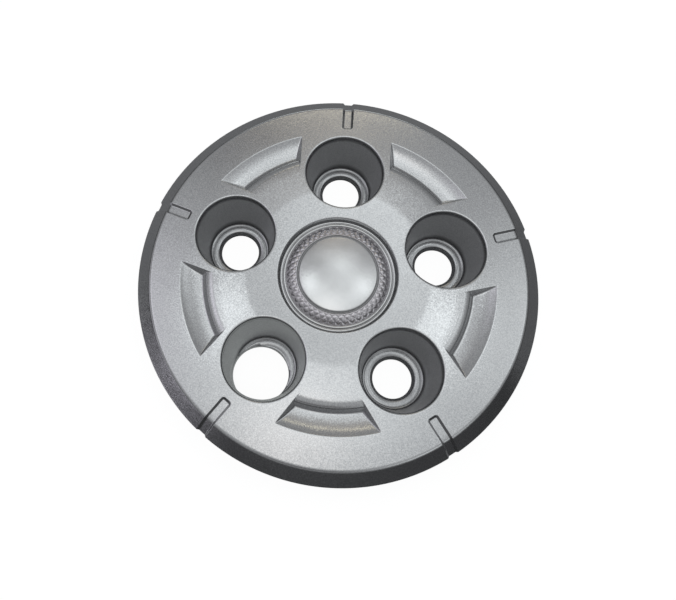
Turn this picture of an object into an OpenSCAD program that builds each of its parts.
// Wheel centre cap with five bolt pockets, for a wheel whose five bolts clamp the cap.
// One moulded shell, a round badge bonded in its middle, and the adhesive ring under the badge.
// Origin: middle of the plane that the five pocket ends rest on. +Z points out of the face.

/* [Shell] */
// Outer diameter at the foot of the skirt
cap_d = 213.2; // [208:0.2:220]
// Height of the face where it is highest
face_z = 34.45; // [33:0.05:36]
// Height of the upper edge of the skirt's foot
foot_z = 26.3; // [24:0.1:27]
// Height of the upright lip below that edge
lip_h = 1.2; // [0.8:0.1:2]
// Radius of the edge between the face and the skirt, before rounding
rim_r = 99; // [97:0.1:100]
// Rounding of that edge
rim_round = 3; // [1:0.1:4]
// Wall thickness
wall = 2.4; // [2:0.1:2.8]

/* [Crown of the face] */
// Radius of the soft crest, inside which the face dips towards the badge
crest_r = 48; // [46:0.5:50]
// Slope of the face inside the crest, in degrees
dip_angle = 1.6; // [0.3:0.1:2]
// Slope of the face just outside the crest, in degrees
crown_angle = 1.1; // [0.3:0.1:1.6]
// Slope of the face at the rim, in degrees
rim_angle = 2.9; // [2:0.1:4]

/* [Bolt pockets] */
// Number of pockets
pocket_count = 5; // [5:1:5]
// Diameter of the bolt circle
bolt_circle_d = 118; // [117:0.5:119]
// Radius of a pocket's wall at the face
mouth_r = 21.2; // [20.5:0.1:21.6]
// Rounding of a pocket's mouth
mouth_round = 1.2; // [0.6:0.1:1.6]
// Radius of a pocket's floor
floor_r = 16.7; // [16:0.1:17.2]
// Height of the floor at the pocket's wall
floor_z = 4.2; // [3.6:0.1:5]
// Radius of the upper edge of the bolt's cone seat
seat_edge_r = 12.2; // [11.8:0.1:12.6]
// Height of that edge
seat_edge_z = 3.2; // [2.8:0.1:3.4]
// Radius of the bolt hole
bolt_hole_r = 10.8; // [10:0.1:11]
// Length of the straight part of the bolt hole
bolt_hole_h = 1.4; // [1:0.1:2]

/* [Wide hole] */
// Number of steps clockwise from the top pocket to the one with the wide hole
wide_step = 3; // [3:1:3]
// Radius of the wide hole, which passes over a bolt that is already fitted
wide_hole_r = 15.4; // [14.8:0.1:15.6]
// How far the wide hole is set outwards from the pocket's own axis
wide_shift = 4.5; // [4:0.1:4.8]
// Draft of the wide hole above the floor, in degrees
wide_draft = 1; // [0.5:0.1:1.5]

/* [Arc recesses] */
// Radius where the rounded inner wall leaves the face
recess_in_r = 65.3; // [65:0.1:66]
// Radius of the foot of the inner wall
recess_floor_r = 71.3; // [70.8:0.1:71.8]
// Radius of the outer edge, where the scoop runs out
recess_out_r = 82.8; // [82:0.1:83.5]
// Depth at the foot of the inner wall
recess_depth = 3.8; // [3.2:0.1:4]
// Distance of an end wall from the middle line of the next pocket
recess_end = 24.5; // [24.2:0.1:25.6]
// Lean of the end walls, in degrees from upright
recess_draft = 33; // [28:1:36]

/* [Rim slots] */
// Radius of a slot's inner end
slot_in_r = 86; // [85:0.1:87]
// Width of a slot
slot_w = 5.8; // [5:0.1:6.5]
// Depth of a slot below the surface around it
slot_depth = 0.8; // [0.5:0.1:0.9]
// Rounding of the inner corners of a slot
slot_round = 1.1; // [0.8:0.1:1.5]

/* [Badge] */
// Radius of the badge
badge_r = 30.9; // [30.5:0.05:31]
// Radius of the round well that the badge sits in
well_r = 31.3; // [31.2:0.05:31.5]
// Height of the floor of the well
well_z = 28; // [27.6:0.1:28.4]
// Height of the middle of the badge
badge_top_z = 35.4; // [35:0.05:35.8]
// Radius of the smooth disc in the middle of the badge
disc_r = 20.6; // [20.2:0.1:20.8]
// Rise of the disc's dome from its edge to its middle
dome_rise = 1.2; // [0.6:0.1:1.4]
// Thickness of the adhesive ring
adhesive_t = 0.8; // [0.6:0.1:1]

/* [Ribs on the back] */
// Thickness of a rib
rib_t = 1.8; // [1.4:0.1:2.2]
// Height of the lower edge of the ribs that join the pockets
link_z = 21; // [18:0.5:24]

/* [Hidden] */
$fn = 96;

over = 1;
reach = 130;
cap_r = cap_d / 2;
bolt_circle_r = bolt_circle_d / 2;
step_angle = 360 / pocket_count;
top_angle = 90;
crown_run = rim_r - crest_r;
crown_steps = 8;
mouth_z = crown(bolt_circle_r);
mouth_tilt = atan((crown(bolt_circle_r - mouth_r) - crown(bolt_circle_r + mouth_r)) / (2 * mouth_r));
wall_lean = (mouth_r - floor_r) / (mouth_z - floor_z);
tube_foot_r = floor_r - floor_z * wall_lean + wall;
tube_head_z = face_z - wall;
recess_wall_angle = 25;
recess_wall_round = 12.5;
recess_start_angle = 5;
recess_outer_angle = 27;
floor_round = 0.8;
well_round = 1.3;
base_z = foot_z - lip_h;
rib_bite = 1.2;

shell_colour = [0.66, 0.67, 0.68];
badge_colour = [0.62, 0.60, 0.63];
adhesive_colour = [0.16, 0.16, 0.17];

// Height of the face at radius r: it dips inside the crest and falls ever more steeply outside it
function crown(r) = r < crest_r
    ? face_z - (crest_r - r) * tan(dip_angle)
    : face_z - (r - crest_r) * tan(crown_angle)
      - pow(r - crest_r, 2) * (tan(rim_angle) - tan(crown_angle)) / (2 * crown_run);

function unit(v) = v / norm(v);

// The way that a point on the edge from p to q moves when that edge is set inwards
function inward(p, q) = let(d = unit(q - p)) [d[1], -d[0]];

// Points of the arc of radius r that rounds the corner p between its neighbours
function rounded(before, p, after, r, steps = 5) =
    let(
        u = unit(before - p),
        v = unit(after - p),
        half = acos(u * v) / 2,
        middle = p + unit(u + v) * r / sin(half),
        first = p + u * r / tan(half) - middle,
        last = p + v * r / tan(half) - middle,
        start = atan2(first[1], first[0]),
        turn = atan2(first[0] * last[1] - first[1] * last[0], first * last)
    )
    [for (i = [0 : steps]) middle + r * [cos(start + turn * i / steps), sin(start + turn * i / steps)]];

// Points of an arc about a middle, from one angle to another
function arc(middle, r, from, to, steps) =
    [for (i = [0 : steps]) middle + r * [cos(from + (to - from) * i / steps), sin(from + (to - from) * i / steps)]];

// Upper outline of the shell from a radius out to the skirt's foot, set inwards by a distance
function upper_outline(from_r, inset) =
    let(
        corner = [rim_r, crown(rim_r)],
        foot = [cap_r, foot_z],
        aside = inward(corner, foot) * inset,
        before = [from_r, crown(from_r) - inset],
        corner_in = [corner[0] + aside[0], crown(rim_r) - inset]
    )
    concat(
        [for (i = [0 : crown_steps - 1]) let(r = from_r + (rim_r - from_r) * i / crown_steps) [r, crown(r) - inset]],
        rounded(before, corner_in, foot + aside, rim_round),
        [foot + aside]
    );

module around(first = 0, last = pocket_count - 1) {
    for (i = [first : last]) rotate(top_angle - i * step_angle) children();
}

// The revolved skin: badge well, face, rounded rim, sloping skirt and upright lip
module skin() {
    well_in_z = well_z - wall;
    well_out_r = well_r + wall;
    lip = [[cap_r, base_z]];
    skirt_in = inward([rim_r, crown(rim_r)], [cap_r, foot_z]) * wall;
    slope = (cap_r - rim_r) / (crown(rim_r) - foot_z);
    foot_in = [cap_r + skirt_in[0] + (foot_z + skirt_in[1] - base_z) * slope, base_z];
    corner_in = [rim_r + skirt_in[0], crown(rim_r) - wall];
    well_edge = [well_r, crown(well_r)];
    rotate_extrude()
        polygon(concat(
            [[0, well_z], [well_r, well_z]],
            rounded([well_r, well_z], well_edge, [crest_r, face_z], well_round),
            upper_outline(crest_r, 0),
            lip,
            [foot_in, corner_in],
            [for (i = [crown_steps - 1 : -1 : 0])
                let(r = crest_r + crown_run * i / crown_steps) [r, crown(r) - wall]],
            [[well_out_r, crown(well_out_r) - wall], [well_out_r, well_in_z], [0, well_in_z]]
        ));
}

// Outer form of one pocket tube, on its own axis
module tube() {
    cylinder(h = tube_head_z, r1 = tube_foot_r, r2 = tube_foot_r + tube_head_z * wall_lean);
}

// What the moulding tool leaves open inside a pocket, down to its floor
module pocket() {
    wall_top = [mouth_r + over * wall_lean, mouth_z + over];
    corner = [floor_r, floor_z];
    rotate_extrude()
        polygon(concat(
            [[0, seat_edge_z], [seat_edge_r, seat_edge_z]],
            rounded([seat_edge_r, seat_edge_z], corner, wall_top, floor_round),
            [wall_top, [0, mouth_z + over]]
        ));
    translate([0, 0, mouth_z]) rotate([0, mouth_tilt, 0]) mouth_rounding();
}

// The flare of the mouth, which follows the slope of the face
module mouth_rounding() {
    edge = [mouth_r, 0];
    bend = rounded([mouth_r - mouth_round * wall_lean, -mouth_round * 2], edge, [mouth_r * 2, 0], mouth_round);
    rotate_extrude()
        polygon(concat(
            [[0, -mouth_round]],
            [for (i = [0 : len(bend) - 2]) bend[i]],
            [[mouth_r + mouth_round * 1.2, over], [0, over]]
        ));
}

// The straight hole and the cone seat that a bolt's head draws down on
module bolt_hole() {
    translate([0, 0, -over]) cylinder(h = bolt_hole_h + over, r = bolt_hole_r);
    translate([0, 0, bolt_hole_h]) cylinder(h = seat_edge_z - bolt_hole_h, r1 = bolt_hole_r, r2 = seat_edge_r);
}

// The wide hole: straight through the floor, then opening a little as it cuts into the pocket's wall
module wide_hole() {
    cut_h = foot_z - seat_edge_z;
    translate([wide_shift, 0, -over]) cylinder(h = seat_edge_z + over, r = wide_hole_r);
    translate([wide_shift, 0, seat_edge_z])
        cylinder(h = cut_h, r1 = wide_hole_r, r2 = wide_hole_r + cut_h * tan(wide_draft));
}

// Extra wall round the wide hole, which reaches past the pocket's own tube
module wide_tube() {
    translate([wide_shift, 0, 0]) cylinder(h = foot_z, r = wide_hole_r + wall);
}

// The space on the recess's side of one end wall; side is 1 or -1
module inside_of_end(side, margin) {
    rotate(side * step_angle / 2)
        translate([0, -side * (recess_end - margin), face_z])
            rotate([-side * recess_draft, 0, 0])
                translate([0, side > 0 ? -reach : 0, -reach / 2])
                    cube([reach, reach, reach]);
}

// Outline of a recess from its inner wall to its outer edge, grown by a margin for the wall behind it
function recess_outline(margin) =
    let(
        top = [recess_in_r, crown(recess_in_r)],
        bend_middle = [top[0] - recess_wall_round * sin(recess_start_angle),
                       top[1] - recess_wall_round * cos(recess_start_angle)],
        bend_end = bend_middle + recess_wall_round * [sin(recess_wall_angle), cos(recess_wall_angle)],
        foot = [recess_floor_r, top[1] - recess_depth],
        edge = [recess_out_r, crown(recess_out_r)],
        run = edge - foot,
        lean = atan2(run[1], run[0]),
        scoop_r = norm(run) / (2 * sin(recess_outer_angle - lean)),
        scoop_middle = edge + scoop_r * [-sin(recess_outer_angle), cos(recess_outer_angle)]
    )
    margin == 0
        ? concat(
            arc(bend_middle, recess_wall_round, 90 - recess_start_angle, 90 - recess_wall_angle, 5),
            arc(scoop_middle, scoop_r, 2 * lean - recess_outer_angle - 90, recess_outer_angle - 90, 8)
          )
        : [
            top - [margin, margin],
            foot - [margin * 0.6, margin],
            foot + [margin, -margin],
            edge + [margin * 0.6, -margin]
          ];

module recess(margin = 0) {
    points = recess_outline(margin);
    last = points[len(points) - 1];
    lift = margin == 0 ? over : 0;
    intersection() {
        rotate_extrude()
            polygon(concat(
                points,
                [last + [0, lift + margin / 2], [points[0][0], crown(points[0][0]) + lift - margin / 2]]
            ));
        inside_of_end(1, margin);
        inside_of_end(-1, margin);
    }
}

// One rim slot: a bar-shaped patch of the face and skirt set down by the slot's depth
module slot() {
    line = upper_outline(slot_in_r - over, slot_depth);
    intersection() {
        union() {
            translate([slot_in_r + slot_round, -slot_w / 2, 0]) cube([reach, slot_w, reach]);
            translate([slot_in_r, slot_round - slot_w / 2, 0]) cube([reach, slot_w - 2 * slot_round, reach]);
            for (side = [-1, 1])
                translate([slot_in_r + slot_round, side * (slot_w / 2 - slot_round), 0])
                    cylinder(h = reach, r = slot_round);
        }
        rotate_extrude()
            polygon(concat(
                line,
                [[cap_r - slot_depth, base_z - over], [cap_r + over, base_z - over]],
                [[cap_r + over, face_z + over], [line[0][0], face_z + over]]
            ));
    }
}

// Everything under the skin that a rib may fill
module under_skin() {
    rotate_extrude()
        polygon([
            [0, 0],
            [cap_r - wall, 0],
            [cap_r - wall, base_z],
            [rim_r - rib_bite, crown(rim_r) - rib_bite * 1.5],
            [0, crown(rim_r) - rib_bite * 1.5]
        ]);
}

// A rib that runs out along +X between two radii
module rib(from_r, to_r, low_z) {
    translate([from_r, -rib_t / 2, low_z]) cube([to_r - from_r, rib_t, face_z - low_z]);
}

module ribs() {
    half_gap = 2 * bolt_circle_r * sin(step_angle / 2) / 2;
    link_r = bolt_circle_r * cos(step_angle / 2);
    intersection() {
        around() {
            rib(well_r + wall / 2, bolt_circle_r - tube_foot_r, well_z - wall);
            rib(bolt_circle_r + tube_foot_r, cap_r, base_z);
            rotate(step_angle / 2)
                translate([link_r - rib_t / 2, -half_gap, link_z])
                    cube([rib_t, 2 * half_gap, face_z - link_z]);
        }
        under_skin();
    }
}

module cap_shell() {
    color(shell_colour)
        difference() {
            union() {
                skin();
                ribs();
                around() translate([bolt_circle_r, 0, 0]) tube();
                around(wide_step, wide_step) translate([bolt_circle_r, 0, 0]) wide_tube();
                around() rotate(step_angle / 2) recess(wall);
            }
            around() translate([bolt_circle_r, 0, 0]) pocket();
            around(0, wide_step - 1) translate([bolt_circle_r, 0, 0]) bolt_hole();
            around(wide_step, wide_step) translate([bolt_circle_r, 0, 0]) wide_hole();
            around(wide_step + 1) translate([bolt_circle_r, 0, 0]) bolt_hole();
            around() rotate(step_angle / 2) recess();
            around() slot();
        }
}

// A hollow-backed badge: domed disc, groove, convex shoulder and two fine beads
module centre_badge() {
    back_z = well_z + adhesive_t;
    disc_edge_z = badge_top_z - dome_rise;
    groove_z = disc_edge_z - 1.8;
    shoulder_in = [21.5, 33.65];
    shoulder_out = [27.3, 31.1];
    shoulder_round = 8;
    shoulder_chord = shoulder_out - shoulder_in;
    shoulder_lean = atan2(-shoulder_chord[1], shoulder_chord[0]);
    shoulder_half = asin(norm(shoulder_chord) / 2 / shoulder_round);
    shoulder_middle = (shoulder_in + shoulder_out) / 2
        - shoulder_round * cos(shoulder_half) * [sin(shoulder_lean), cos(shoulder_lean)];
    bead_r = 0.85;
    bead_1 = [28.1, 30.75];
    bead_2 = [29.85, 30.5];
    flange_in_r = 21;
    hollow_r = 19;
    shell_t = 2;
    dome_r = (pow(disc_r - 1, 2) + pow(dome_rise, 2)) / (2 * dome_rise);
    dome_half = asin((disc_r - 1) / dome_r);
    color(badge_colour)
        rotate_extrude()
            polygon(concat(
                arc([0, badge_top_z - dome_r], dome_r, 90, 90 - dome_half, 6),
                arc([disc_r - 0.7, disc_edge_z - 0.75], 0.7, 70, 0, 3),
                [[disc_r + 0.08, groove_z], [disc_r + 0.6, groove_z]],
                arc(shoulder_middle, shoulder_round,
                    90 - shoulder_lean + shoulder_half, 90 - shoulder_lean - shoulder_half, 6),
                arc(bead_1, bead_r, 150, 30, 6),
                arc(bead_2, bead_r, 150, 20, 6),
                [[badge_r, bead_2[1] - 0.2], [badge_r, back_z], [flange_in_r, back_z]],
                [[hollow_r, disc_edge_z - shell_t], [0, badge_top_z - shell_t]]
            ));
}

module adhesive_ring() {
    inner_r = 21.8;
    outer_r = 30;
    color(adhesive_colour)
        translate([0, 0, well_z])
            difference() {
                cylinder(h = adhesive_t, r = outer_r);
                translate([0, 0, -over]) cylinder(h = adhesive_t + 2 * over, r = inner_r);
            }
}

cap_shell();
centre_badge();
adhesive_ring();
